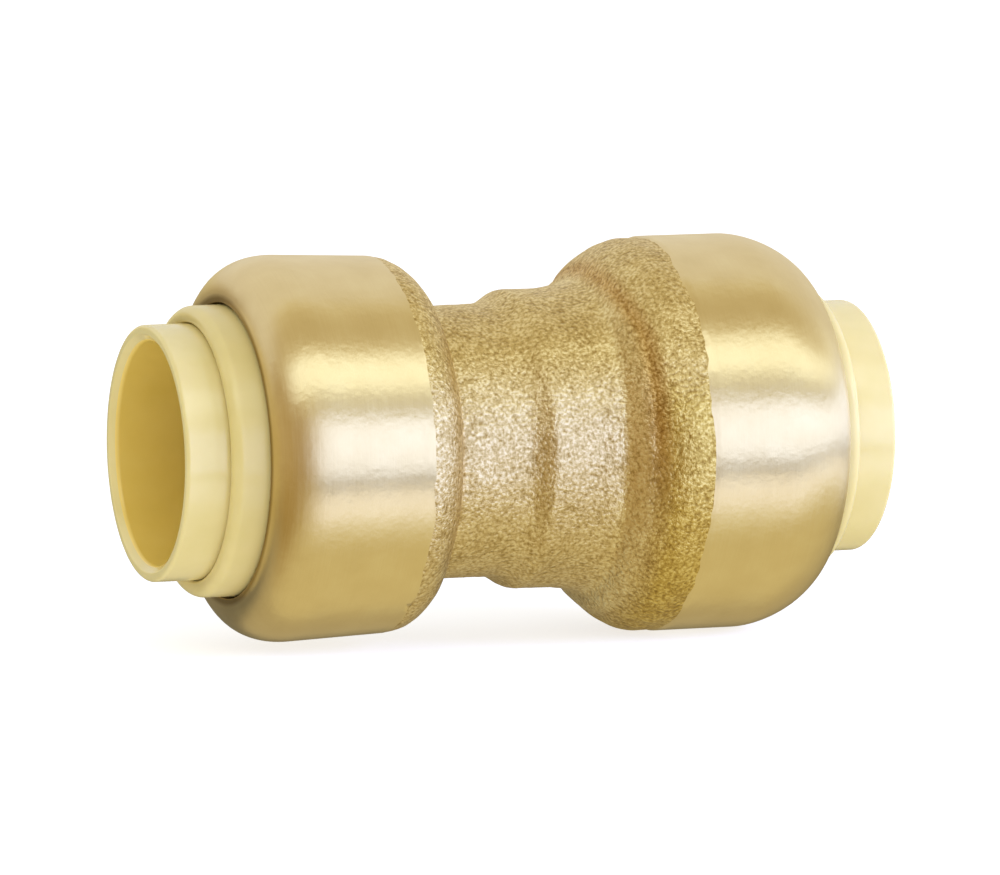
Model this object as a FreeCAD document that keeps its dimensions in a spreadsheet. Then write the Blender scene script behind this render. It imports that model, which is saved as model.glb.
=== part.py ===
import FreeCAD, Part
import Sketcher
import os

# A straight brass push-to-connect coupling for 15.88 mm (half inch nominal) tube, in millimetres.
#
# One brass body holds the same push-in cartridge at each end. The axis of the fitting is X and the
# origin is on it at mid-length. The larger bell of the body is at +X, and +Z is up.
#
# Every piece is turned about the axis, so each one is a Revolution of a closed outline. Outlines are
# drawn in the local XY plane, X along the axis and Y the radius. The cartridge pieces measure X as
# the depth from the mouth of their own end, so one set of sizes serves both ends: the left pieces are
# moved to the left mouth, and the right ones are turned half a turn and moved to the right mouth.

# Name of the cell: (value, what it is). A "_depth" is measured inward from the mouth of an end.
SIZES = {
    "overall_length": (55.4, "mouth to mouth"),
    # brass body, outside; distances from the left mouth
    "lip_radius": (10.85, "opening of the rolled lips"),
    "lip_left": (5.80, "left lip plane"),
    "lip_right": (50.90, "right lip plane"),
    "bell_left_front_radius": (14.34, "left bell, carried forward to the lip plane"),
    "bell_left_back_radius": (13.76, "left bell, carried back to its rear plane"),
    "bell_left_back": (20.50, "rear plane of the left bell"),
    "neck_left_radius": (10.09, "narrow part of the neck"),
    "step_start": (26.30, "start of the step in the neck"),
    "step_end": (28.10, "end of the step in the neck"),
    "neck_right_radius": (11.20, "wide part of the neck"),
    "shoulder_start": (32.85, "foot of the right bell's shoulder"),
    "shoulder_end": (36.30, "top of the right bell's shoulder"),
    "bell_right_radius": (14.68, "right bell"),
    "nose_right_start": (47.20, "start of the right bell's tapered nose"),
    "nose_right_radius": (12.07, "end of that taper, at the lip plane"),
    "nose_left_rounding": (3.35, "rolled edge of the left bell"),
    "bell_left_rounding": (3.10, "rear edge of the left bell"),
    "neck_fillet": (0.60, "foot of the left bell"),
    "step_rounding": (1.50, "both edges of the step"),
    "shoulder_fillet": (1.20, "foot of the right shoulder"),
    "shoulder_rounding": (3.20, "top of the right shoulder"),
    "taper_rounding": (5.80, "start of the right nose"),
    "nose_right_rounding": (2.10, "rolled edge of the right bell"),
    # brass body, inside
    "lip_inner_depth": (7.15, "inner face of the rolled lip"),
    "lip_corner_radius": (11.75, "start of the bevel behind the lip"),
    "cartridge_bore_depth": (7.95, "end of that bevel"),
    "cartridge_bore_radius": (12.55, "bore that holds the cartridge"),
    "cartridge_seat_depth": (15.65, "floor of the cartridge bore"),
    "seal_bore_radius": (10.10, "bore that the O-ring seals on"),
    "seal_seat_depth": (19.30, "floor of the seal bore"),
    "pilot_bore_radius": (8.05, "bore that guides the tube"),
    "tube_stop_depth": (26.40, "shoulder that stops the tube"),
    "waterway_radius": (6.40, "passage through the tube stop"),
    # release collar
    "collar_bore_radius": (8.20, "bore that the tube slides through"),
    "collar_radius": (9.38, "outside of the collar's tube"),
    "collar_edge": (0.28, "rounding of the mouth's outer edge"),
    "collar_lead_in": (0.40, "bevel of the mouth's inner edge"),
    "collar_end_depth": (11.20, "tip of the nose that opens the teeth"),
    "collar_nose_start_depth": (9.60, "start of the nose's cone"),
    "collar_nose_radius": (8.80, "tip of the nose's cone"),
    "collar_tip_bevel": (0.30, "bevel inside the tip"),
    "barb_radius": (10.30, "snap barb"),
    "barb_front_depth": (8.00, "face of the barb that catches the cap"),
    "barb_crest_depth": (8.25, "end of the barb's flat crest"),
    "barb_back_depth": (8.80, "end of the barb's ramp"),
    "finger_slot_width": (2.00, "slot between two snap fingers"),
    "finger_slot_depth": (6.80, "closed end of the slots"),
    "finger_slot_count": (4, "slots round the collar"),
    # cartridge cap
    "cap_front_depth": (3.20, "front face of the cap"),
    "cap_radius": (10.67, "part of the cap that shows inside the lip"),
    "cap_edge": (1.00, "rounding of the cap's front edge"),
    "cap_bore_radius": (9.48, "bore that guides the collar"),
    "cap_shoulder_depth": (7.20, "shoulder held by the rolled lip"),
    "cap_shoulder_radius": (11.65, "start of the cap's bevel"),
    "cap_bevel_depth": (8.02, "end of the cap's bevel"),
    "cap_skirt_radius": (12.50, "outside of the skirt"),
    "cap_skirt_bore_radius": (10.95, "inside of the skirt"),
    "cap_catch_depth": (7.92, "inner face that stops the barbs"),
    "cap_end_depth": (11.40, "rim that holds the grab ring"),
    # grab ring
    "grab_front_depth": (11.45, "front face of the rim"),
    "grab_back_depth": (11.90, "back face of the rim"),
    "grab_radius": (12.40, "outside of the rim"),
    "tooth_root_radius": (10.60, "bend line of the teeth, front face"),
    "tooth_root_back_radius": (10.90, "bend line of the teeth, back face"),
    "tooth_tip_radius": (7.70, "biting edge, smaller than the tube"),
    "tooth_tip_front_depth": (13.70, "biting edge, front corner"),
    "tooth_tip_back_depth": (14.02, "biting edge, back corner"),
    "tooth_tip_back_radius": (7.88, "radius of the back corner"),
    "tooth_gap_width": (0.90, "gap between two teeth"),
    "tooth_gap_root_radius": (10.15, "closed end of the gap"),
    "tooth_count": (18, "teeth round the ring"),
    # O-ring guard
    "guard_front_depth": (11.95, "face behind the grab ring"),
    "guard_radius": (12.48, "outside of the guard"),
    "guard_seat_depth": (15.60, "face on the cartridge seat"),
    "guard_tail_radius": (10.03, "tail that enters the seal bore"),
    "guard_end_depth": (16.55, "end of the tail, against the O-ring"),
    "guard_bore_radius": (8.12, "bore for the tube"),
    "guard_floor_depth": (15.10, "floor of the recess for the teeth"),
    "guard_floor_radius": (9.40, "radius of that floor"),
    "guard_cone_depth": (14.60, "end of the recess's cone"),
    "guard_mouth_radius": (11.20, "mouth of the recess"),
    # O-ring
    "o_ring_depth": (17.85, "middle of the O-ring"),
    "o_ring_ring_radius": (8.86, "axis to the middle of the section"),
    "o_ring_section_radius": (1.20, "radius of the section"),
    # tube liner
    "liner_front_depth": (11.60, "free end inside the tube"),
    "liner_bore_radius": (5.40, "bore of the liner"),
    "liner_tip_radius": (5.65, "tapered free end"),
    "liner_taper_depth": (12.40, "end of the taper"),
    "liner_radius": (5.95, "sleeve, inside the tube"),
    "liner_flange_front_depth": (25.60, "face that the tube lands on"),
    "liner_flange_back_depth": (26.36, "face on the tube stop"),
    "liner_flange_radius": (8.00, "flange, held in the pilot bore"),
}

# The outside of the body from the left lip to the right one. Names are cells, X then radius.
BODY_OUTSIDE = [
    ("lip_left", "lip_radius"),
    ("lip_left", "bell_left_front_radius"),
    ("bell_left_back", "bell_left_back_radius"),
    ("bell_left_back", "neck_left_radius"),
    ("step_start", "neck_left_radius"),
    ("step_end", "neck_right_radius"),
    ("shoulder_start", "neck_right_radius"),
    ("shoulder_end", "bell_right_radius"),
    ("nose_right_start", "bell_right_radius"),
    ("lip_right", "nose_right_radius"),
    ("lip_right", "lip_radius"),
]

# The inside of either end of the body, from its lip to the waterway.
BODY_INSIDE = [
    ("lip_inner_depth", "lip_radius"),
    ("lip_inner_depth", "lip_corner_radius"),
    ("cartridge_bore_depth", "cartridge_bore_radius"),
    ("cartridge_seat_depth", "cartridge_bore_radius"),
    ("cartridge_seat_depth", "seal_bore_radius"),
    ("seal_seat_depth", "seal_bore_radius"),
    ("seal_seat_depth", "pilot_bore_radius"),
    ("tube_stop_depth", "pilot_bore_radius"),
    ("tube_stop_depth", "waterway_radius"),
]

# Roundings of the body: cell of the radius, then the corners of BODY_OUTSIDE that it rounds.
BODY_ROUNDINGS = [
    ("nose_left_rounding", [1]),
    ("bell_left_rounding", [2]),
    ("neck_fillet", [3]),
    ("step_rounding", [4, 5]),
    ("shoulder_fillet", [6]),
    ("shoulder_rounding", [7]),
    ("taper_rounding", [8]),
    ("nose_right_rounding", [9]),
]

SHEET = "Sizes"

document = FreeCAD.newDocument("PushToConnectCoupling")
sheet = document.addObject("Spreadsheet::Sheet", SHEET)
for row, (alias, (value, meaning)) in enumerate(SIZES.items(), start=1):
    sheet.set(f"A{row}", meaning)
    sheet.set(f"B{row}", str(value))
    sheet.setAlias(f"B{row}", alias)
document.recompute()


def cell(name):
    """The expression that reads a cell of the sheet."""
    return f"{SHEET}.{name}"


def cells(corners):
    """Corners given as pairs of cell names, as pairs of expressions."""
    return [(cell(along), cell(radius)) for along, radius in corners]


def number(expression):
    """The present value of an expression on the sheet's cells."""
    return float(sheet.evalExpression(expression))


def new_body(name):
    """An empty PartDesign body, labelled with the name of its piece."""
    body = document.addObject("PartDesign::Body", name)
    body.Label = name
    return body


def new_sketch(body, name, role):
    """A sketch on one of the body's own origin planes."""
    sketch = body.newObject("Sketcher::SketchObject", name)
    plane = [item for item in body.Origin.OriginFeatures if item.Role == role][0]
    sketch.AttachmentSupport = (plane, "")
    sketch.MapMode = "FlatFace"
    return sketch


def draw_outline(sketch, corners):
    """Draw a closed outline of straight edges and tie both coordinates of every corner."""
    points = [FreeCAD.Vector(number(a), number(b), 0) for a, b in corners]
    count = len(points)
    for index in range(count):
        sketch.addGeometry(Part.LineSegment(points[index], points[(index + 1) % count]), False)
    for index in range(count):
        sketch.addConstraint(
            Sketcher.Constraint("Coincident", index, 2, (index + 1) % count, 1)
        )
    for index, (along, radius) in enumerate(corners):
        for kind, expression in (("DistanceX", along), ("DistanceY", radius)):
            tie = Sketcher.Constraint(kind, -1, 1, index, 1, number(expression))
            place = sketch.addConstraint(tie)
            sketch.setExpression(f"Constraints[{place}]", expression)


def revolve(body, corners):
    """Turn a closed outline once round the local X axis."""
    sketch = new_sketch(body, body.Name + "_outline", "XY_Plane")
    draw_outline(sketch, corners)
    document.recompute()
    turned = body.newObject("PartDesign::Revolution", body.Name + "_turned")
    turned.Profile = sketch
    turned.ReferenceAxis = (sketch, ["H_Axis"])
    turned.Angle = 360
    sketch.Visibility = False
    body.Tip = turned
    document.recompute()
    return turned


def round_edges(body, corners, radius_cell):
    """Round the circular edges that lie at these corners of a revolved outline."""
    base = body.Tip
    names = []
    for along, radius in corners:
        for index, edge in enumerate(base.Shape.Edges, start=1):
            curve = edge.Curve
            if not isinstance(curve, Part.Circle):
                continue
            beside = abs(curve.Center.x - number(along)) < 1e-4
            if beside and abs(curve.Radius - number(radius)) < 1e-4:
                names.append(f"Edge{index}")
    if len(names) != len(corners):
        raise RuntimeError(f"{body.Label}: {radius_cell} found {len(names)} edges")
    fillet = body.newObject("PartDesign::Fillet", f"{body.Name}_{radius_cell}")
    fillet.Base = (base, names)
    fillet.setExpression("Radius", cell(radius_cell))
    body.Tip = fillet
    document.recompute()
    return fillet


def cut_round(body, base, outline_name, corners, count_cell, depth_cell):
    """Cut a slot lying along +Y, between two radii, and repeat it round the axis.

    The slot runs the whole way inward from depth_cell. It has to remove material.
    """
    before = base.Shape.Volume
    sketch = new_sketch(body, outline_name, "YZ_Plane")
    draw_outline(sketch, corners)
    sketch.setExpression("AttachmentOffset.Base.z", cell(depth_cell))
    document.recompute()
    pocket = body.newObject("PartDesign::Pocket", outline_name + "_cut")
    pocket.Profile = sketch
    pocket.Type = "ThroughAll"
    pocket.Reversed = True
    sketch.Visibility = False
    document.recompute()
    pattern = body.newObject("PartDesign::PolarPattern", outline_name + "_pattern")
    pattern.Originals = [pocket]
    pattern.Axis = ([o for o in body.Origin.OriginFeatures if o.Role == "X_Axis"][0], [""])
    pattern.Angle = 360
    pattern.setExpression("Occurrences", cell(count_cell))
    body.Tip = pattern
    document.recompute()
    one = before - pocket.Shape.Volume
    every = before - pattern.Shape.Volume
    wanted = one * number(cell(count_cell))
    if one <= 0 or abs(every - wanted) > 0.02 * wanted:
        raise RuntimeError(f"{outline_name} cut {one} once and {every} in all")


def slot_corners(inner, outer, width_cell):
    """The outline of a slot lying along the sketch's X, from one expression to another."""
    half = f"{cell(width_cell)} / 2"
    return [
        (inner, f"-{half}"),
        (outer, f"-{half}"),
        (outer, half),
        (inner, half),
    ]


def make_body():
    """The forged brass body, with both lips rolled over the cartridges."""
    body = new_body("brass_body")
    outside = cells(BODY_OUTSIDE)
    length = cell("overall_length")
    inside = cells(BODY_INSIDE)
    right = [(f"{length} - {along}", radius) for along, radius in inside]
    left = inside[::-1]
    revolve(body, outside + right + left)
    for radius_cell, places in BODY_ROUNDINGS:
        round_edges(body, [outside[place] for place in places], radius_cell)
    return body


def make_collar(name):
    """The plastic collar that is pushed in to let go of the tube, with four snap fingers."""
    body = new_body(name)
    mouth = "0"
    bore = cell("collar_bore_radius")
    outside = cell("collar_radius")
    end = cell("collar_end_depth")
    bevel = cell("collar_tip_bevel")
    lead_in = cell("collar_lead_in")
    corners = [
        (mouth, f"{bore} + {lead_in}"),
        (mouth, outside),
        (cell("barb_front_depth"), outside),
        (cell("barb_front_depth"), cell("barb_radius")),
        (cell("barb_crest_depth"), cell("barb_radius")),
        (cell("barb_back_depth"), outside),
        (cell("collar_nose_start_depth"), outside),
        (end, cell("collar_nose_radius")),
        (end, f"{bore} + {bevel}"),
        (f"{end} - {bevel}", bore),
        (lead_in, bore),
    ]
    revolve(body, corners)
    base = round_edges(body, [(mouth, outside)], "collar_edge")
    reach = f"{cell('barb_radius')} + 1"
    slot = slot_corners(f"{bore} - 1", reach, "finger_slot_width")
    cut_round(body, base, name + "_slot", slot, "finger_slot_count", "finger_slot_depth")
    return body


def make_cap(name):
    """The plastic ring that closes the cartridge and guides the collar."""
    body = new_body(name)
    corners = cells([
        ("cap_front_depth", "cap_bore_radius"),
        ("cap_front_depth", "cap_radius"),
        ("cap_shoulder_depth", "cap_radius"),
        ("cap_shoulder_depth", "cap_shoulder_radius"),
        ("cap_bevel_depth", "cap_skirt_radius"),
        ("cap_end_depth", "cap_skirt_radius"),
        ("cap_end_depth", "cap_skirt_bore_radius"),
        ("cap_catch_depth", "cap_skirt_bore_radius"),
        ("cap_catch_depth", "cap_bore_radius"),
    ])
    revolve(body, corners)
    round_edges(body, [corners[1]], "cap_edge")
    return body


def make_grab_ring(name):
    """The stainless ring whose leaning teeth bite the tube."""
    body = new_body(name)
    corners = cells([
        ("grab_front_depth", "grab_radius"),
        ("grab_back_depth", "grab_radius"),
        ("grab_back_depth", "tooth_root_back_radius"),
        ("tooth_tip_back_depth", "tooth_tip_back_radius"),
        ("tooth_tip_front_depth", "tooth_tip_radius"),
        ("grab_front_depth", "tooth_root_radius"),
    ])
    base = revolve(body, corners)
    gap = slot_corners(
        f"{cell('tooth_tip_radius')} - 1", cell("tooth_gap_root_radius"), "tooth_gap_width"
    )
    cut_round(body, base, name + "_gap", gap, "tooth_count", "grab_front_depth")
    return body


def make_guard(name):
    """The plastic ring between the teeth and the O-ring."""
    body = new_body(name)
    corners = cells([
        ("guard_front_depth", "guard_radius"),
        ("guard_seat_depth", "guard_radius"),
        ("guard_seat_depth", "guard_tail_radius"),
        ("guard_end_depth", "guard_tail_radius"),
        ("guard_end_depth", "guard_bore_radius"),
        ("guard_floor_depth", "guard_bore_radius"),
        ("guard_floor_depth", "guard_floor_radius"),
        ("guard_cone_depth", "guard_floor_radius"),
        ("guard_front_depth", "guard_mouth_radius"),
    ])
    revolve(body, corners)
    return body


def make_o_ring(name):
    """The rubber O-ring, a torus round the axis."""
    ring = document.addObject("Part::Torus", name)
    ring.Label = name
    ring.setExpression("Radius1", cell("o_ring_ring_radius"))
    ring.setExpression("Radius2", cell("o_ring_section_radius"))
    return ring


def make_liner(name):
    """The sleeve that keeps a soft tube round, with the flange that the tube lands on."""
    body = new_body(name)
    corners = cells([
        ("liner_front_depth", "liner_bore_radius"),
        ("liner_front_depth", "liner_tip_radius"),
        ("liner_taper_depth", "liner_radius"),
        ("liner_flange_front_depth", "liner_radius"),
        ("liner_flange_front_depth", "liner_flange_radius"),
        ("liner_flange_back_depth", "liner_flange_radius"),
        ("liner_flange_back_depth", "liner_bore_radius"),
    ])
    revolve(body, corners)
    return body


# What each end holds: name, what makes it, and the cell of its own depth if it has one.
CARTRIDGE = [
    ("release_collar", make_collar, None),
    ("cartridge_cap", make_cap, None),
    ("grab_ring", make_grab_ring, None),
    ("o_ring_guard", make_guard, None),
    ("o_ring", make_o_ring, "o_ring_depth"),
    ("tube_liner", make_liner, None),
]

half_length = f"{cell('overall_length')} / 2"
brass_body = make_body()
brass_body.setExpression("Placement.Base.x", f"-{half_length}")
pieces = [brass_body]

UP = FreeCAD.Vector(0, 0, 1)
ACROSS = FreeCAD.Vector(0, 1, 0)
for side, sign in (("left", 1), ("right", -1)):
    for name, make, depth_cell in CARTRIDGE:
        piece = make(f"{name}_{side}")
        if depth_cell is None:
            # the outline runs along local +X, which points into the fitting from the left mouth
            turn = FreeCAD.Rotation(UP, 0 if sign > 0 else 180)
            depth = "0"
        else:
            # a torus is made round local Z, so Z is laid along the fitting's axis
            turn = FreeCAD.Rotation(ACROSS, 90)
            depth = cell(depth_cell)
        piece.Placement = FreeCAD.Placement(FreeCAD.Vector(0, 0, 0), turn)
        piece.setExpression("Placement.Base.x", f"{-sign} * ({half_length} - {depth})")
        pieces.append(piece)

document.recompute()

for item in document.Objects:
    for state in ("Invalid", "Error"):
        if state in item.State:
            raise RuntimeError(f"{item.Label} is {item.State}")

for piece in pieces:
    if piece.Shape.isNull() or not piece.Shape.isValid():
        raise RuntimeError(f"{piece.Label} has no valid shape")
    if len(piece.Shape.Solids) != 1:
        raise RuntimeError(f"{piece.Label} has {len(piece.Shape.Solids)} solids")

os.makedirs("parts", exist_ok=True)
for piece in pieces:
    piece.Shape.exportStep(f"parts/{piece.Label}.step")
    box = piece.Shape.BoundBox
    print(f"{piece.Label}: x {box.XMin:.2f} to {box.XMax:.2f}, volume {piece.Shape.Volume:.1f}")
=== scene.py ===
import math

import bpy
import numpy as np
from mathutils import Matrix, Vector


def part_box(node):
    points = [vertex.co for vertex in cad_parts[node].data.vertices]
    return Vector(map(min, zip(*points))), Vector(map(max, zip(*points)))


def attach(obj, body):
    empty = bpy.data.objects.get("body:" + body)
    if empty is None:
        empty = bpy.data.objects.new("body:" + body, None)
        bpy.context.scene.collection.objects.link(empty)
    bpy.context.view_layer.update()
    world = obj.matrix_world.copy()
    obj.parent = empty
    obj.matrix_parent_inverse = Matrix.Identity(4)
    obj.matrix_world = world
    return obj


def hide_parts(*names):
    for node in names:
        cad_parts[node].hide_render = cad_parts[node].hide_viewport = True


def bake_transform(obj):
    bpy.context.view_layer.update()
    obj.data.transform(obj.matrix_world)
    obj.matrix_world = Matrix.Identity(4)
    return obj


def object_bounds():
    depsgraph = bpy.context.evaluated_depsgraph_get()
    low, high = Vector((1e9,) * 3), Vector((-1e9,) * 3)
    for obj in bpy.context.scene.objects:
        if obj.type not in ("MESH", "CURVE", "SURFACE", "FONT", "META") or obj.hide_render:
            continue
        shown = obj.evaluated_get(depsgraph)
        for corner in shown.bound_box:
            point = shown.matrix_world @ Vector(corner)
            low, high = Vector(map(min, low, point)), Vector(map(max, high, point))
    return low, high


# A straight brass push-to-connect coupling, lying on a white studio floor.
#
# Every piece is turned about the X axis. An outline is a list of (x, r) points in millimetres, where x
# is either measured from the left mouth (the brass body) or inward from the mouth of its own end (the
# pieces of a cartridge). swept turns it about the axis, and placed puts it in the row frame, in metres.

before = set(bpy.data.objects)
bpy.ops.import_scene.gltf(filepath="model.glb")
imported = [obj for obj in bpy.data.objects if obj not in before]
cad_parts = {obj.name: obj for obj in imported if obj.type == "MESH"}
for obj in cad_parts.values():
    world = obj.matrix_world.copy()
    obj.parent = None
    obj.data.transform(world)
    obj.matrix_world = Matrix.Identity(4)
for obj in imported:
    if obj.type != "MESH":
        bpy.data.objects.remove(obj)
cad_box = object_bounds()

MM = 0.001
LEFT_MOUTH = cad_box[0].x
RIGHT_MOUTH = cad_box[1].x
FLOOR_HEIGHT = cad_box[0].z


# ---------------------------------------------------------------------------------- outlines

def unit(vector):
    return vector / np.linalg.norm(vector)


def rounded(corners, step_degrees=11.0, margin=0.05):
    """A polyline through corners (x, r, rounding), each rounded by an arc of that radius.

    A point just beyond each end of an arc keeps the shading of the straight stretches flat.
    """
    count = len(corners)
    points = []
    for index, (x, r, radius) in enumerate(corners):
        here = np.array([x, r])
        before = np.array(corners[index - 1][:2])
        after = np.array(corners[(index + 1) % count][:2])
        into, out = unit(here - before), unit(after - here)
        turn = math.acos(float(np.clip(into @ out, -1.0, 1.0)))
        if radius <= 0 or turn < 1e-4:
            points.append(here)
            continue
        reach = radius * math.tan(turn / 2)
        start, end = here - into * reach, here + out * reach
        inward = unit(out - into)
        centre = here + inward * radius / math.cos(turn / 2)
        steps = max(3, round(math.degrees(turn) / step_degrees))
        if np.linalg.norm(here - before) > 4 * (reach + margin):
            points.append(start - into * margin)
        for k in range(steps + 1):
            share = k / steps
            a, b = start - centre, end - centre
            blend = (math.sin((1 - share) * turn) * a + math.sin(share * turn) * b) / math.sin(turn)
            points.append(centre + blend)
        if np.linalg.norm(after - here) > 4 * (reach + margin):
            points.append(end + out * margin)
    return np.array(points)


def dome(lip, crown, power, steps=160):
    """A quarter of a superellipse from lip, where it stands upright, to crown, where it lies flat."""
    angle = np.linspace(0, math.pi / 2, steps)
    along = crown[0] + (lip[0] - crown[0]) * np.cos(angle) ** (2 / power)
    height = lip[1] + (crown[1] - lip[1]) * np.sin(angle) ** (2 / power)
    return np.stack([along, height], axis=1)


def ramp(start, end, skew=1.0, steps=60):
    """A smooth step between two flat stretches, steepest near its end if skew is above 1."""
    share = np.linspace(0, 1, steps)
    late = share ** skew
    ease = late * late * (3 - 2 * late)
    along = start[0] + (end[0] - start[0]) * share
    return np.stack([along, start[1] + (end[1] - start[1]) * ease], axis=1)


def resample(points, spacing):
    """The same polyline with evenly spaced points."""
    lengths = np.concatenate([[0], np.cumsum(np.linalg.norm(np.diff(points, axis=0), axis=1))])
    count = max(2, round(lengths[-1] / spacing) + 1)
    wanted = np.linspace(0, lengths[-1], count)
    return np.stack([np.interp(wanted, lengths, points[:, k]) for k in (0, 1)], axis=1)


# ------------------------------------------------------------------------------------- noise

def lattice_noise(points, size, seed):
    """Smooth noise from -1 to 1 at points (n, 3) in millimetres, with lumps of that size."""
    spot = points / size + 57.3 + 11.7 * seed
    base = np.floor(spot).astype(np.int64)
    part = spot - base
    ease = part ** 3 * (part * (part * 6 - 15) + 10)
    total = np.zeros(len(points))
    for dx in (0, 1):
        for dy in (0, 1):
            for dz in (0, 1):
                cell = base + (dx, dy, dz)
                key = cell[:, 0] * 374761393 + cell[:, 1] * 668265263 + cell[:, 2] * 2147483647
                key = (key + seed * 974634777) & 0xFFFFFFFF
                key = ((key ^ (key >> 13)) * 1274126177) & 0xFFFFFFFF
                value = ((key ^ (key >> 16)) & 0xFFFF) / 32767.5 - 1
                weight = np.abs(1 - dx - ease[:, 0]) * np.abs(1 - dy - ease[:, 1])
                total += value * weight * np.abs(1 - dz - ease[:, 2])
    return total


def layered_noise(points, layers):
    return sum(height * lattice_noise(points, size, seed) for height, size, seed in layers)


def smooth_between(low, high, values):
    share = np.clip((values - low) / (high - low), 0, 1)
    return share * share * (3 - 2 * share)


# ------------------------------------------------------------------------------------ meshes

def mesh_object(name, vertices, faces, materials, face_slots=None):
    mesh = bpy.data.meshes.new(name)
    mesh.from_pydata(vertices.tolist(), [], faces.tolist())
    for material in materials:
        mesh.materials.append(material)
    if face_slots is not None:
        mesh.polygons.foreach_set("material_index", face_slots)
    mesh.polygons.foreach_set("use_smooth", np.ones(len(faces), dtype=bool))
    mesh.update()
    piece = bpy.data.objects.new(name, mesh)
    bpy.context.scene.collection.objects.link(piece)
    return piece


def ring_faces(rings, segments):
    """Quads between neighbouring rings of a closed outline, facing away from the solid."""
    ring, around = np.meshgrid(np.arange(rings), np.arange(segments), indexing="ij")
    next_ring, next_around = (ring + 1) % rings, (around + 1) % segments
    corners = (
        ring * segments + around,
        ring * segments + next_around,
        next_ring * segments + next_around,
        next_ring * segments + around,
    )
    return np.stack([c.ravel() for c in corners], axis=1)


def swept(outline, segments):
    """Points (rings, segments, 3) in millimetres of an outline turned about X."""
    angle = np.linspace(0, 2 * math.pi, segments, endpoint=False)
    x = np.repeat(outline[:, :1], segments, axis=1)
    y = outline[:, 1:] * np.cos(angle)
    z = outline[:, 1:] * np.sin(angle)
    return np.stack([x, y, z], axis=2)


def placed(points, side):
    """Points in millimetres from the mouth of an end, moved to that end in the row frame."""
    flat = points.reshape(-1, 3) * MM
    if side == "left":
        flat = flat + (LEFT_MOUTH, 0, 0)
    else:
        flat = flat * (-1, -1, 1) + (RIGHT_MOUTH, 0, 0)
    return flat


def turned_piece(name, outline, side, material, segments=160):
    """One turned piece of the cartridge at that side."""
    points = swept(outline, segments)
    faces = ring_faces(len(outline), segments)
    return mesh_object(name, placed(points, side), faces, [material])


# --------------------------------------------------------------------------------- materials

def set_stops(ramp_node, stops):
    elements = ramp_node.color_ramp.elements
    while len(elements) < len(stops):
        elements.new(0.5)
    for element, (place, colour) in zip(elements, stops):
        element.position = place
        element.color = (*colour, 1)


class Nodes:
    """A short way to build a material's node tree round its Principled shader."""

    def __init__(self, name):
        self.material = bpy.data.materials.new(name)
        self.material.use_nodes = True
        self.tree = self.material.node_tree
        self.shader = self.tree.nodes["Principled BSDF"]

    def add(self, kind, **settings):
        node = self.tree.nodes.new(kind)
        for key, value in settings.items():
            setattr(node, key, value)
        return node

    def link(self, source, target):
        self.tree.links.new(source, target)

    def set(self, **values):
        for key, value in values.items():
            self.shader.inputs[key.replace("_", " ")].default_value = value

    def place(self, scale):
        """Object coordinates in metres, stretched by scale."""
        coordinates = self.add("ShaderNodeTexCoord")
        mapping = self.add("ShaderNodeMapping")
        mapping.inputs["Scale"].default_value = scale
        self.link(coordinates.outputs["Object"], mapping.inputs["Vector"])
        return mapping.outputs["Vector"]

    def position(self):
        """The X, Y and Z of the shaded point, in metres."""
        node = self.add("ShaderNodeSeparateXYZ")
        self.link(self.add("ShaderNodeTexCoord").outputs["Object"], node.inputs[0])
        return node.outputs

    def over(self, share, below, above):
        """The colour above laid over the colour below by that share."""
        node = self.add("ShaderNodeMix", data_type="RGBA")
        self.link(share, node.inputs["Factor"])
        self.link(below, node.inputs["A"])
        self.link(above, node.inputs["B"])
        return node.outputs["Result"]

    def noise(self, size, detail=2.0, roughness=0.5, stretch=(1, 1, 1)):
        """Noise with lumps of that size in millimetres, wider by stretch along each axis."""
        scale = [1 / (size * MM * wide) for wide in stretch]
        node = self.add("ShaderNodeTexNoise")
        node.inputs["Scale"].default_value = 1.0
        node.inputs["Detail"].default_value = detail
        node.inputs["Roughness"].default_value = roughness
        self.link(self.place(scale), node.inputs["Vector"])
        return node.outputs["Fac"]

    def cells(self, size):
        """Distance to the nearest of scattered points, about that many millimetres apart."""
        node = self.add("ShaderNodeTexVoronoi")
        node.inputs["Scale"].default_value = 1.0
        self.link(self.place([1 / (size * MM)] * 3), node.inputs["Vector"])
        return node.outputs["Distance"]

    def math(self, operation, first, second):
        node = self.add("ShaderNodeMath", operation=operation)
        for value, socket in ((first, node.inputs[0]), (second, node.inputs[1])):
            if isinstance(value, (int, float)):
                socket.default_value = value
            else:
                self.link(value, socket)
        return node.outputs[0]

    def spread(self, value, low, high, to_low, to_high):
        """The value, taken from one range to another and clamped there."""
        node = self.add("ShaderNodeMapRange")
        self.link(value, node.inputs["Value"])
        for key, number in (
            ("From Min", low), ("From Max", high), ("To Min", to_low), ("To Max", to_high),
        ):
            node.inputs[key].default_value = number
        return node.outputs["Result"]

    def colours(self, value, stops):
        """A colour ramp with stops (place, colour)."""
        node = self.add("ShaderNodeValToRGB")
        set_stops(node, stops)
        self.link(value, node.inputs["Fac"])
        return node.outputs["Color"]

    def bump(self, height, distance, strength=1.0, normal=None):
        node = self.add("ShaderNodeBump")
        node.inputs["Strength"].default_value = strength
        node.inputs["Distance"].default_value = distance * MM
        self.link(height, node.inputs["Height"])
        if normal is not None:
            self.link(normal, node.inputs["Normal"])
        return node.outputs["Normal"]


# Radii between which the painted shade line at the lips fades out, in millimetres.
LIP_SHADE_RADII = (11.15, 11.5)


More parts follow.
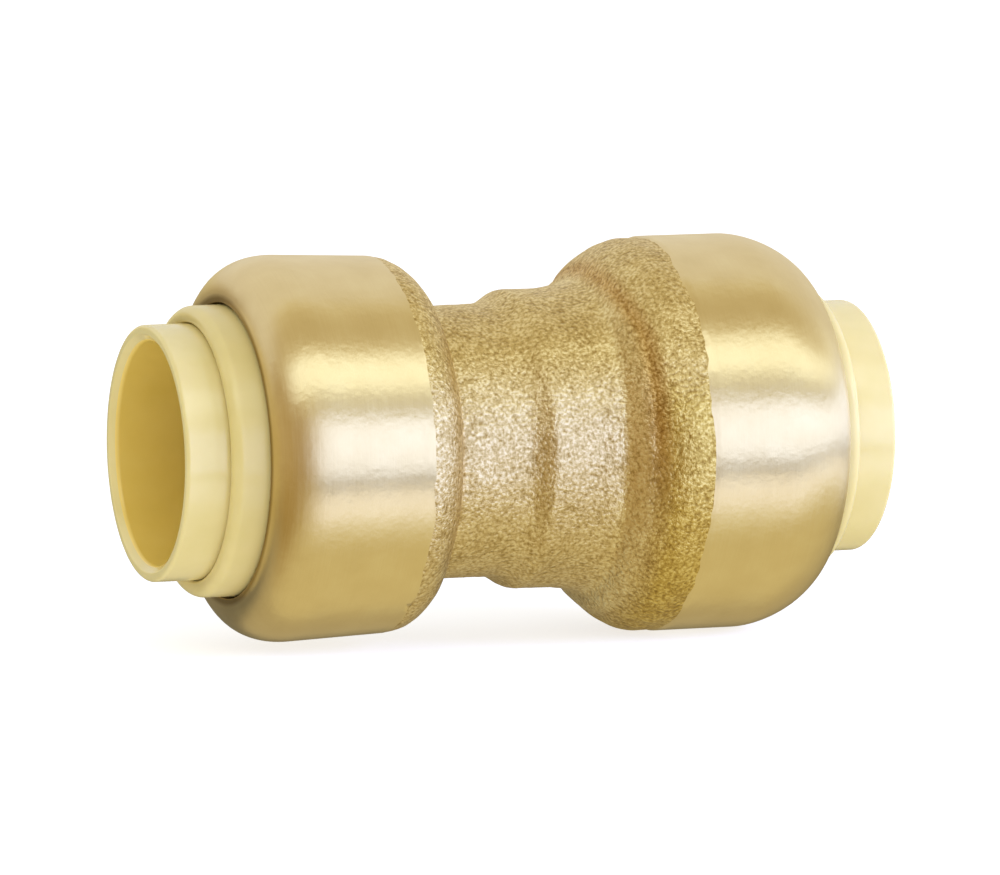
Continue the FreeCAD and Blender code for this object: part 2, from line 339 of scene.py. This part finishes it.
def turned_brass():
    """Brass turned on a lathe and finely brushed round the axis."""
    n = Nodes("turned_brass")
    n.set(Metallic=1.0, Anisotropic=0.75, Anisotropic_Rotation=0.25)
    tangent = n.add("ShaderNodeTangent", direction_type="RADIAL", axis="X")
    n.link(tangent.outputs["Tangent"], n.shader.inputs["Tangent"])
    lines = n.noise(0.09, detail=3.0, roughness=0.65, stretch=(1, 60, 60))
    broad = n.noise(2.5, detail=4.0)
    tone = n.math("ADD", n.math("MULTIPLY", lines, 0.35), n.math("MULTIPLY", broad, 0.65))
    colour = n.colours(tone, [
        (0.30, (0.75, 0.61, 0.34)),
        (0.50, (0.79, 0.65, 0.375)),
        (0.70, (0.83, 0.70, 0.42)),
    ])
    # a line of painted shade round each lip, standing in for the shadow in the gap between cap and lip
    place = n.position()
    squares = n.math("ADD", n.math("POWER", place["Y"], 2.0), n.math("POWER", place["Z"], 2.0))
    radius = n.math("SQRT", squares, 0)
    mix = n.add("ShaderNodeMix", data_type="RGBA")
    n.link(n.spread(radius, LIP_SHADE_RADII[0] * MM, LIP_SHADE_RADII[1] * MM, 0.0, 1.0), mix.inputs["Factor"])
    mix.inputs["A"].default_value = (0.38, 0.26, 0.09, 1)
    n.link(colour, mix.inputs["B"])
    n.link(mix.outputs["Result"], n.shader.inputs["Base Color"])
    n.link(n.spread(lines, 0.25, 0.75, 0.29, 0.39), n.shader.inputs["Roughness"])
    mottle = n.noise(0.55, detail=3.0)
    n.link(n.bump(lines, 0.004, normal=n.bump(mottle, 0.018)), n.shader.inputs["Normal"])
    return n.material


# Places on the forging, in millimetres from the left mouth: the crease behind the smaller bell, the
# foot of the larger bell's shoulder where a highlight is painted, the die mark on it, and where its brown
# scale starts.
BELL_CREASE = 20.75
FOOT_HIGHLIGHT_AT = 33.75
DIE_MARK = 34.90
SCALE_START = 35.0
# Heights in millimetres between which the die mark leans over to the left by a millimetre.
CREASE_LEAN = (8.5, 12.5)


def forged_brass():
    """Brass as it comes from the die and the shot blast: grainy, browner in its pits."""
    n = Nodes("forged_brass")
    n.set(Metallic=1.0)
    grain = n.noise(0.22, detail=2.0, roughness=0.6)
    pits = n.cells(0.34)
    lumps = n.noise(2.2, detail=3.0)
    height = n.math("SUBTRACT", grain, n.math("MULTIPLY", pits, 0.40))
    tone = n.math("ADD", n.math("MULTIPLY", height, 0.9), n.math("MULTIPLY", lumps, 0.30))
    clean = n.colours(tone, [
        (0.16, (0.42, 0.29, 0.11)),
        (0.40, (0.67, 0.52, 0.27)),
        (0.60, (0.88, 0.75, 0.49)),
    ])
    # the brown scale's tones, also used for the painted shade on top
    scale_and_shade_tone = n.colours(tone, [
        (0.16, (0.34, 0.21, 0.045)),
        (0.40, (0.58, 0.41, 0.105)),
        (0.60, (0.82, 0.65, 0.24)),
    ])
    # a lit copy of the tones, for the painted highlight on the shoulder's foot
    highlight_tone = n.colours(tone, [
        (0.16, (0.62, 0.47, 0.22)),
        (0.40, (0.95, 0.80, 0.47)),
        (0.60, (1.00, 0.93, 0.66)),
    ])
    # a darker, redder copy of the tones, for the painted shade in the creases
    crease_shade_tone = n.colours(tone, [
        (0.16, (0.30, 0.16, 0.035)),
        (0.40, (0.52, 0.32, 0.10)),
        (0.60, (0.74, 0.52, 0.22)),
    ])
    # the shoulder of the larger bell kept more of its brown forging scale
    place = n.position()
    along = n.math("ADD", place["X"], n.math("MULTIPLY", lumps, 1.2 * MM))
    start = LEFT_MOUTH + SCALE_START * MM
    scale_and_top_shade = n.spread(along, start, start + 1.6 * MM, 0.0, 0.9)
    worn = n.spread(place["Z"], 3.5 * MM, 6.5 * MM, 1.0, 0.4)
    scale_and_top_shade = n.math("MULTIPLY", scale_and_top_shade, worn)
    # painted shade: all of it is a little darker and browner on top
    scale_and_top_shade = n.math("MAXIMUM", scale_and_top_shade, n.spread(place["Z"], 4.5 * MM, 7.0 * MM, 0.0, 0.45))
    # painted shade, reddish, in the two creases, the one on the shoulder only above the middle
    upper = n.spread(place["Z"], -3.5 * MM, 1.5 * MM, 0.0, 0.9)
    lean = n.spread(place["Z"], CREASE_LEAN[0] * MM, CREASE_LEAN[1] * MM, 0.0, MM)
    crease_shade = 0.0
    for crease, shift, reach, most in ((BELL_CREASE, 0.0, 0.45, 0.6), (DIE_MARK, lean, 1.0, upper)):
        offset = n.math("SUBTRACT", place["X"], LEFT_MOUTH + crease * MM)
        distance = n.math("ABSOLUTE", n.math("ADD", offset, shift), 0)
        line = n.spread(distance, 0.15 * MM, reach * MM, 1.0, 0.0)
        crease_shade = n.math("MAXIMUM", crease_shade, n.math("MULTIPLY", line, most))
    # a painted highlight on the foot of the shoulder, standing in for the brighter reflection it catches
    offset = n.math("SUBTRACT", place["X"], LEFT_MOUTH + FOOT_HIGHLIGHT_AT * MM)
    foot_highlight = n.spread(n.math("ABSOLUTE", offset, 0), 0.4 * MM, 1.2 * MM, 0.6, 0.0)
    below = clean
    for share, above in ((foot_highlight, highlight_tone), (scale_and_top_shade, scale_and_shade_tone), (crease_shade, crease_shade_tone)):
        below = n.over(share, below, above)
    n.link(below, n.shader.inputs["Base Color"])
    n.link(n.spread(grain, 0.3, 0.7, 0.45, 0.32), n.shader.inputs["Roughness"])
    n.link(n.bump(height, 0.085), n.shader.inputs["Normal"])
    return n.material


def moulded_plastic(name, dark, light, roughness, glow):
    """Acetal straight from the mould: smooth, faintly cloudy, a little light comes through it."""
    n = Nodes(name)
    n.set(
        Subsurface_Weight=glow, Subsurface_Scale=0.6 * MM, Specular_IOR_Level=0.55,
        Subsurface_Radius=(1.0, 0.75, 0.3), Coat_Weight=0.5, Coat_Roughness=0.18,
    )
    cloud = n.noise(3.0, detail=3.0)
    skin = n.noise(2.5, detail=1.0)
    n.link(n.colours(cloud, [(0.3, dark), (0.7, light)]), n.shader.inputs["Base Color"])
    n.link(n.spread(skin, 0.3, 0.7, roughness - 0.04, roughness + 0.05), n.shader.inputs["Roughness"])
    return n.material


def spring_steel():
    n = Nodes("spring_steel")
    n.set(Metallic=1.0)
    lines = n.noise(0.06, detail=2.0, stretch=(1, 1, 30))
    n.link(n.colours(lines, [(0.3, (0.50, 0.49, 0.47)), (0.7, (0.66, 0.65, 0.63))]),
           n.shader.inputs["Base Color"])
    n.link(n.spread(lines, 0.3, 0.7, 0.29, 0.38), n.shader.inputs["Roughness"])
    n.link(n.bump(lines, 0.003), n.shader.inputs["Normal"])
    return n.material


def seal_rubber():
    n = Nodes("greased_rubber")
    n.set(Coat_Weight=0.4, Coat_Roughness=0.2)
    skin = n.noise(0.2, detail=3.0)
    n.link(n.colours(skin, [(0.3, (0.012, 0.012, 0.013)), (0.7, (0.028, 0.028, 0.030))]),
           n.shader.inputs["Base Color"])
    n.link(n.spread(skin, 0.3, 0.7, 0.42, 0.6), n.shader.inputs["Roughness"])
    n.link(n.bump(skin, 0.006), n.shader.inputs["Normal"])
    return n.material


TURNED = turned_brass()
FORGED = forged_brass()
COLLAR_PLASTIC = moulded_plastic("collar_acetal", (0.71, 0.59, 0.235), (0.75, 0.63, 0.27), 0.22, 0.10)
BORE_SHADE_PLASTIC = moulded_plastic("collar_acetal_bore_shade", (0.81, 0.585, 0.11), (0.85, 0.625, 0.135), 0.34, 0.0)
CAP_PLASTIC = moulded_plastic("cap_acetal", (0.68, 0.555, 0.20), (0.72, 0.59, 0.23), 0.34, 0.10)
INNER_PLASTIC = moulded_plastic("inner_acetal", (0.72, 0.70, 0.62), (0.80, 0.78, 0.71), 0.42, 0.2)
STEEL = spring_steel()
RUBBER = seal_rubber()


# --------------------------------------------------------------------------------- the brass

# Sizes of the body in millimetres, measured from the left mouth.
LIP_RADIUS = 10.85
LIP_LEFT = (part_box("brass_body")[0].x - LEFT_MOUTH) / MM
LIP_RIGHT = (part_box("brass_body")[1].x - LEFT_MOUTH) / MM
LENGTH = (RIGHT_MOUTH - LEFT_MOUTH) / MM
BELL_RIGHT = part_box("brass_body")[1].z / MM
NOSE_LEFT_END = (9.95, 14.18)
BELL_LEFT_END = (17.26, 13.89)
BELL_LEFT_FOOT = (20.50, 10.09)
STEP_START = (25.1, 10.09)
STEP_END = (28.1, 11.05)
STEP_END_FLAT = (30.6, 11.05)
SHOULDER_FOOT = (33.35, 11.45)
SHOULDER_TOP = (37.6, BELL_RIGHT - 0.09)
NOSE_RIGHT_START = (45.3, BELL_RIGHT)
FORGED_TO = 39.05
LIP_ROUNDING = 0.08
GRAIN_SPACING = 0.17
TURNED_SPACING = 0.34
BODY_SEGMENTS = 440
SOFTENING_PASSES = 16
DIE_MARK_DEPTH = 0.20
DIE_MARK_WIDTH = 0.42
# Height, size and seed of each layer of noise on the forging and along the edge of its turned faces.
FORGING_LUMPS = ((0.075, 3.4, 1), (0.040, 1.3, 2), (0.008, 0.55, 3), (0.005, 0.36, 4))
EDGE_WANDER = ((0.16, 2.4, 5), (0.10, 0.7, 6))


def body_outside():
    """The outline of the body from the left lip to the right one, as three stretches."""
    front = np.concatenate([
        dome((LIP_LEFT, LIP_RADIUS + 0.2), NOSE_LEFT_END, 2.2),
        [BELL_LEFT_END],
    ])
    foot = np.array(BELL_LEFT_FOOT)
    neck_fillet = rounded([
        (foot[0], foot[1] + 2.0, 0), (foot[0], foot[1] - 0.12, 0.3), (foot[0] + 1.4, foot[1], 0.5),
        (foot[0] + 3.0, foot[1], 0),
    ])[1:-1]
    back = dome((foot[0], foot[1] + 0.4), BELL_LEFT_END, 2.0)[::-1]
    flare = ramp(STEP_END_FLAT, SHOULDER_FOOT)
    shoulder = dome(SHOULDER_FOOT, SHOULDER_TOP, 1.55)
    middle = np.concatenate([
        back[:-8], neck_fillet, ramp(STEP_START, STEP_END, skew=1.7), flare, shoulder,
        [(FORGED_TO - 0.25, SHOULDER_TOP[1])],
    ])
    nose = dome((LIP_RIGHT, LIP_RADIUS + 0.2), NOSE_RIGHT_START, 1.7)[::-1]
    rear = np.concatenate([[(FORGED_TO, BELL_RIGHT)], nose])
    return front, middle, rear


def body_inside():
    """The outline of both sockets, from the right lip back to the left one."""
    depths = [
        (7.15, LIP_RADIUS), (7.15, 11.75), (7.95, 12.55), (15.65, 12.55), (15.65, 10.10),
        (19.30, 10.10), (19.30, 8.05), (26.40, 8.05), (26.40, 6.40),
    ]
    rounding = [0.15, 0.2, 0.2, 0.2, 0.3, 0.2, 0.3, 0.2, 0.3]
    right = [(LENGTH - depth, r, p) for (depth, r), p in zip(depths, rounding)]
    left = [(depth, r, p) for (depth, r), p in zip(depths, rounding)][::-1]
    # the first and last corners only steer the roundings of the lips
    return rounded([
        (LIP_RIGHT, LIP_RADIUS + 1, 0), (LIP_RIGHT, LIP_RADIUS, LIP_ROUNDING),
        *right, *left,
        (LIP_LEFT, LIP_RADIUS, LIP_ROUNDING), (LIP_LEFT, LIP_RADIUS + 1, 0),
    ])[1:-1]


def softened(points, low, high, passes):
    """The polyline with its corners between two places along the axis worn soft."""
    points = points.copy()
    inside = (points[1:-1, 0] > low) & (points[1:-1, 0] < high)
    for _ in range(passes):
        mean = (points[:-2] + 2 * points[1:-1] + points[2:]) / 4
        points[1:-1] = np.where(inside[:, None], mean, points[1:-1])
    return points


def make_body():
    front, middle, rear = body_outside()
    middle = softened(
        resample(middle, GRAIN_SPACING), STEP_END[0] + 0.5, SHOULDER_TOP[0] - 1.5, SOFTENING_PASSES
    )
    stretches = [
        resample(front, TURNED_SPACING), middle[1:], resample(rear, TURNED_SPACING),
        body_inside(),
    ]
    outline = np.concatenate(stretches)
    rings = len(outline)
    first_forged = len(stretches[0])
    last_forged = first_forged + len(stretches[1]) - 1
    points = swept(outline, BODY_SEGMENTS)
    middle_rings = np.arange(first_forged, last_forged + 1)
    raw = points[middle_rings].reshape(-1, 3)

    # how fully each point belongs to the forging: none at the turned bells' edges
    x = raw[:, 0]
    depth_in = np.minimum(x - BELL_LEFT_END[0], FORGED_TO - x)
    share = smooth_between(0.0, 0.5, depth_in)
    lumps = layered_noise(raw, FORGING_LUMPS)
    fade = 0.35 + 0.65 * smooth_between(-0.35, 0.25, raw[:, 2] / np.hypot(raw[:, 1], raw[:, 2]))
    lean = smooth_between(*CREASE_LEAN, raw[:, 2])
    die_mark = DIE_MARK_DEPTH * np.exp(-((x + lean - DIE_MARK) / DIE_MARK_WIDTH) ** 2) * fade
    push = lumps * share - die_mark
    radius = np.hypot(raw[:, 1], raw[:, 2])
    scale = 1 + push / radius
    moved = raw * np.stack([np.ones_like(scale), scale, scale], axis=1)
    # the edge of the turned face wanders where the forging is uneven
    near_edge = np.exp(-(depth_in / 0.7) ** 2)
    moved[:, 0] += layered_noise(raw, EDGE_WANDER) * near_edge
    points[middle_rings] = moved.reshape(len(middle_rings), BODY_SEGMENTS, 3)

    faces = ring_faces(rings, BODY_SEGMENTS)
    slots = np.zeros(rings * BODY_SEGMENTS, dtype=np.int32)
    slots[first_forged * BODY_SEGMENTS:last_forged * BODY_SEGMENTS] = 1
    piece = mesh_object("forged_body", placed(points, "left"), faces, [TURNED, FORGED], slots)
    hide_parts("brass_body")
    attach(piece, "root")


# ---------------------------------------------------------------------------- the cartridges

def cut_slots(piece, count, width, low, high, from_depth, to_depth, side):
    """Cut straight slots through a turned piece, spaced evenly round the axis."""
    corners = np.array([
        (x, y, z) for x in (from_depth, to_depth) for y in (low, high) for z in (-width / 2, width / 2)
    ])
    box_faces = np.array([
        (0, 1, 3, 2), (4, 6, 7, 5), (0, 4, 5, 1), (2, 3, 7, 6), (0, 2, 6, 4), (1, 5, 7, 3),
    ])
    vertices, faces = [], []
    for k in range(count):
        angle = 2 * math.pi * k / count
        c, s = math.cos(angle), math.sin(angle)
        spin = np.array([[1, 0, 0], [0, c, -s], [0, s, c]])
        faces.append(box_faces + 8 * k)
        vertices.append(corners @ spin.T)
    cutter = mesh_object(
        piece.name + "_cutter", placed(np.concatenate(vertices), side), np.concatenate(faces), []
    )
    modifier = piece.modifiers.new("slots", "BOOLEAN")
    modifier.operation = "DIFFERENCE"
    modifier.solver = "EXACT"
    modifier.object = cutter
    graph = bpy.context.evaluated_depsgraph_get()
    cut = bpy.data.meshes.new_from_object(piece.evaluated_get(graph), depsgraph=graph)
    piece.modifiers.clear()
    piece.data = cut
    bpy.data.objects.remove(cutter)
    cut.set_sharp_from_angle(angle=math.radians(30))


def make_collar(side):
    outline = rounded([
        (0, 8.74, 0.20), (0, 9.38, 0.28), (8.0, 9.38, 0.05), (8.0, 10.30, 0.1), (8.25, 10.30, 0.1),
        (8.8, 9.38, 0.1), (9.6, 9.38, 0.3), (11.2, 8.80, 0.15), (11.2, 8.5, 0.1), (10.9, 8.2, 0.1),
        (0.50, 8.20, 0.40),
    ])[::-1]
    piece = turned_piece("push_collar_" + side, outline, side, COLLAR_PLASTIC, 256)
    cut_slots(piece, 4, 2.0, 7.2, 11.3, 6.8, 12.0, side)
    # painted shade and bounce light: the bore gets a deeper, more saturated copy of the plastic
    piece.data.materials.append(BORE_SHADE_PLASTIC)
    for face in piece.data.polygons:
        if math.hypot(face.center.y, face.center.z) < 8.35 * MM:
            face.material_index = 1
    return piece, "release_collar_", "collar_", "collar_plastic"


def make_cap(side):
    outline = rounded([
        (3.20, 9.42, 0.32), (3.20, 10.67, 0.8), (7.20, 10.67, 0.1), (7.20, 11.65, 0.1),
        (8.02, 12.50, 0.2), (11.40, 12.50, 0.15), (11.40, 10.95, 0.15), (7.92, 10.95, 0.1),
        (7.92, 9.42, 0.1),
    ])[::-1]
    piece = turned_piece("retaining_cap_" + side, outline, side, CAP_PLASTIC, 256)
    return piece, "cartridge_cap_", "root", "cap_plastic"


def make_grab_ring(side):
    outline = rounded([
        (11.45, 12.40, 0.1), (11.90, 12.40, 0.1), (11.90, 10.90, 0.3), (14.02, 7.88, 0.03),
        (13.70, 7.70, 0.03), (11.45, 10.60, 0.5),
    ])[::-1]
    piece = turned_piece("toothed_ring_" + side, outline, side, STEEL, 216)
    cut_slots(piece, 18, 0.9, 6.5, 10.15, 11.0, 15.0, side)
    return piece, "grab_ring_", "grip_", "stainless_spring"


def make_guard(side):
    outline = rounded([
        (11.95, 11.20, 0.1), (11.95, 12.48, 0.15), (15.60, 12.48, 0.2), (15.60, 10.03, 0.1),
        (16.55, 10.03, 0.15), (16.55, 8.12, 0.15), (15.80, 8.12, 0.2), (15.10, 8.78, 0.1),
        (15.10, 9.40, 0.1),
        (14.60, 9.40, 0.2),
    ])[::-1]
    piece = turned_piece("seal_guard_" + side, outline, side, INNER_PLASTIC)
    return piece, "o_ring_guard_", "root", "inner_plastic"


def make_o_ring(side):
    angle = np.linspace(0, 2 * math.pi, 40, endpoint=False)
    section = 1.20 + 0.012 * np.exp(-(np.sin(angle) / 0.12) ** 2)
    outline = np.stack([17.85 + section * np.cos(angle), 8.86 + section * np.sin(angle)], axis=1)
    piece = turned_piece("seal_ring_" + side, outline, side, RUBBER)
    return piece, "o_ring_", "root", "seal_rubber"


def make_liner(side):
    outline = rounded([
        (11.60, 5.40, 0.1), (11.60, 5.65, 0.1), (12.40, 5.95, 0.3), (25.60, 5.95, 0.2),
        (25.60, 8.00, 0.15), (26.36, 8.00, 0.15), (26.36, 5.40, 0.15),
    ])[::-1]
    piece = turned_piece("support_sleeve_" + side, outline, side, INNER_PLASTIC)
    return piece, "tube_liner_", "root", "inner_plastic"


make_body()
for side in ("left", "right"):
    for make in (make_collar, make_cap, make_grab_ring, make_guard, make_o_ring, make_liner):
        piece, node, body, slot = make(side)
        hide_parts(node + side)
        if make is make_grab_ring:
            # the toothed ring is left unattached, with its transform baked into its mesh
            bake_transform(piece)
        else:
            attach(piece, body if body == "root" else body + side)


# ----------------------------------------------------------------------------------- studio

VIEW_AZIMUTH = math.radians(-20.8)
VIEW_ELEVATION = math.radians(6.2)
CAMERA_DISTANCE = 0.665
CAMERA_LENS = 324.0
AIM_RIGHT, AIM_UP = -0.13 * MM, 0.11 * MM


def camera_axes():
    """Unit vectors from the object to the camera, to the right and up in the picture."""
    a, e = VIEW_AZIMUTH, VIEW_ELEVATION
    back = Vector((math.sin(a) * math.cos(e), -math.cos(a) * math.cos(e), math.sin(e)))
    right = Vector((math.cos(a), math.sin(a), 0))
    return back, right, back.cross(right)


def make_camera():
    back, right, up = camera_axes()
    camera = bpy.data.objects.new("camera", bpy.data.cameras.new("camera"))
    centre = (cad_box[0] + cad_box[1]) / 2
    camera.location = centre + back * CAMERA_DISTANCE + right * AIM_RIGHT + up * AIM_UP
    camera.rotation_mode = "QUATERNION"
    camera.rotation_quaternion = back.to_track_quat("Z", "Y")
    camera.data.lens = CAMERA_LENS
    camera.data.sensor_width = 36.0
    camera.data.clip_start, camera.data.clip_end = 0.01, 20
    bpy.context.scene.collection.objects.link(camera)
    bpy.context.scene.camera = camera


def emission(name, colour, strength):
    material = bpy.data.materials.new(name)
    material.use_nodes = True
    nodes = material.node_tree.nodes
    nodes.remove(nodes["Principled BSDF"])
    glow = nodes.new("ShaderNodeEmission")
    glow.inputs["Color"].default_value = (*colour, 1)
    glow.inputs["Strength"].default_value = strength
    material.node_tree.links.new(glow.outputs[0], nodes["Material Output"].inputs["Surface"])
    return material


def reflection_strip(name, low, high, strength, colour=(1, 1, 1), left=-0.09, radius=0.45):
    """A long card in front of the fitting, seen only in reflections, between two heights in degrees.

    0 degrees is level with the fitting on the camera's side, and 90 is overhead. The card starts at
    left, runs level along the fitting and then bends round its right end.
    """
    angles = np.radians(np.linspace(low, high, 8))
    path = [(left, 1.0), (0.5, 1.0), (0.85, 0.75), (1.05, 0.3), (1.1, -0.2), (1.0, -0.7), (0.8, -1.0)]
    rows = [(x, -radius * share * math.cos(a), radius * math.sin(a)) for a in angles for x, share in path]
    columns = len(path)
    starts = [row * columns + column for row in range(len(angles) - 1) for column in range(columns - 1)]
    faces = np.array([(k, k + 1, k + columns + 1, k + columns) for k in starts])
    stage_card(mesh_object(name, np.array(rows), faces, [emission(name, colour, strength)]))


def overhead_card(name, low, high, strength, colour=(1, 1, 1), right=0.9, radius=0.45):
    """A straight card over or under the fitting, between two angles as in reflection_strip."""
    angles = np.radians(np.linspace(low, high, 12))
    ends = (-0.9, right)
    rows = [(x, -radius * math.cos(a), radius * math.sin(a)) for a in angles for x in ends]
    faces = np.array([(2 * k, 2 * k + 1, 2 * k + 3, 2 * k + 2) for k in range(len(angles) - 1)])
    stage_card(mesh_object(name, np.array(rows), faces, [emission(name, colour, strength)]))


def stage_card(card):
    for kind in ("camera", "diffuse", "transmission", "volume_scatter", "shadow"):
        setattr(card, "visible_" + kind, False)


def area_light(name, place, size, power, colour=(1, 1, 1)):
    light = bpy.data.lights.new(name, "AREA")
    light.shape = "RECTANGLE"
    light.size, light.size_y = size
    light.energy = power
    light.color = colour
    lamp = bpy.data.objects.new(name, light)
    lamp.location = place
    lamp.rotation_mode = "QUATERNION"
    lamp.rotation_quaternion = Vector(place).to_track_quat("Z", "Y")
    lamp.visible_camera = False
    lamp.visible_glossy = False
    bpy.context.scene.collection.objects.link(lamp)


def make_floor():
    size = 6.0
    corners = np.array([(x, y, FLOOR_HEIGHT) for x, y in
                        ((-size, -size), (size, -size), (size, size), (-size, size))])
    n = Nodes("floor_paper")
    n.set(Roughness=0.9, Specular_IOR_Level=0.1, Emission_Strength=0.72, Emission_Color=(1, 1, 1, 1))
    shade = n.noise(30.0)
    n.link(n.colours(shade, [(0.3, (0.42, 0.42, 0.42)), (0.7, (0.44, 0.44, 0.44))]),
           n.shader.inputs["Base Color"])
    floor = mesh_object("floor", corners, np.array([(0, 1, 2, 3)]), [n.material])
    floor.visible_glossy = False


# The room that the metal mirrors, warm all round, from its left wall (0) to its right wall (1). Up and
# down count as further right, so only the wall itself is dark.
ROOM = [
    (0.01, (0.62, 0.48, 0.25)),
    (0.10, (0.47, 0.33, 0.12)),
    (0.28, (0.43, 0.29, 0.10)),
    (0.50, (0.76, 0.67, 0.39)),
]


def make_world():
    world = bpy.data.worlds.new("studio")
    bpy.context.scene.world = world
    world.use_nodes = True
    tree = world.node_tree
    background = tree.nodes["Background"]
    direction = tree.nodes.new("ShaderNodeTexCoord")
    parts = tree.nodes.new("ShaderNodeSeparateXYZ")
    side = tree.nodes.new("ShaderNodeMapRange")
    side.inputs["From Min"].default_value = -1.0
    side.inputs["From Max"].default_value = 1.0
    rays = tree.nodes.new("ShaderNodeLightPath")
    warm = tree.nodes.new("ShaderNodeValToRGB")
    set_stops(warm, ROOM)
    choice = tree.nodes.new("ShaderNodeMix")
    choice.data_type = "RGBA"
    choice.inputs["A"].default_value = (0.86, 0.86, 0.86, 1)
    tree.links.new(direction.outputs["Generated"], parts.inputs["Vector"])
    height = tree.nodes.new("ShaderNodeMath")
    height.operation = "ABSOLUTE"
    shifted = tree.nodes.new("ShaderNodeMath")
    shifted.operation = "MULTIPLY_ADD"
    shifted.inputs[1].default_value = 0.6
    tree.links.new(parts.outputs["Z"], height.inputs[0])
    tree.links.new(height.outputs[0], shifted.inputs[0])
    tree.links.new(parts.outputs["X"], shifted.inputs[2])
    tree.links.new(shifted.outputs[0], side.inputs["Value"])
    tree.links.new(side.outputs["Result"], warm.inputs["Fac"])
    tree.links.new(warm.outputs["Color"], choice.inputs["B"])
    tree.links.new(rays.outputs["Is Glossy Ray"], choice.inputs["Factor"])
    seen = tree.nodes.new("ShaderNodeMix")
    seen.data_type = "RGBA"
    seen.inputs["B"].default_value = (1, 1, 1, 1)
    tree.links.new(choice.outputs["Result"], seen.inputs["A"])
    tree.links.new(rays.outputs["Is Camera Ray"], seen.inputs["Factor"])
    tree.links.new(seen.outputs["Result"], background.inputs["Color"])


def make_studio():
    scene = bpy.context.scene
    scene.view_settings.view_transform = "Standard"
    make_world()
    make_floor()
    reflection_strip("front_softbox", -12.5, 23, 1.85, (0.80, 0.90, 1.32))
    reflection_strip("front_gap", 23, 38.5, 0.66, (1.0, 0.97, 0.85))
    reflection_strip("upper_softbox", 38.5, 62, 1.62, (0.92, 0.98, 0.98), left=-0.50)
    reflection_strip("dark_flag", -20, -12.5, 0.28, (1.0, 0.97, 0.95))
    reflection_strip("low_bounce", -39, -20, 1.48, (0.92, 0.95, 1.14))
    reflection_strip("low_fade", -50, -39, 0.98, (1.0, 0.97, 0.80))
    overhead_card("ceiling_shade", 66, 92, 0.62, (1.0, 0.84, 0.48))
    overhead_card("ceiling_panel", 100, 170, 0.84, (1.0, 0.96, 0.86))
    overhead_card("ground_shade", -148, -112, 0.53, (1.0, 0.86, 0.52))
    overhead_card("ground_far", -180, -148, 0.20, (1.0, 0.90, 0.62))
    overhead_card("ground_left", -184, -145, 0.16, (1.0, 0.95, 0.80), right=-0.24, radius=0.42)
    area_light("key_light", (-0.35, -0.6, 0.7), (0.6, 0.4), 1.0)
    area_light("right_fill", (0.6, -0.35, 0.25), (0.3, 0.3), 4.6, (0.62, 0.74, 1.65))


make_camera()
make_studio()
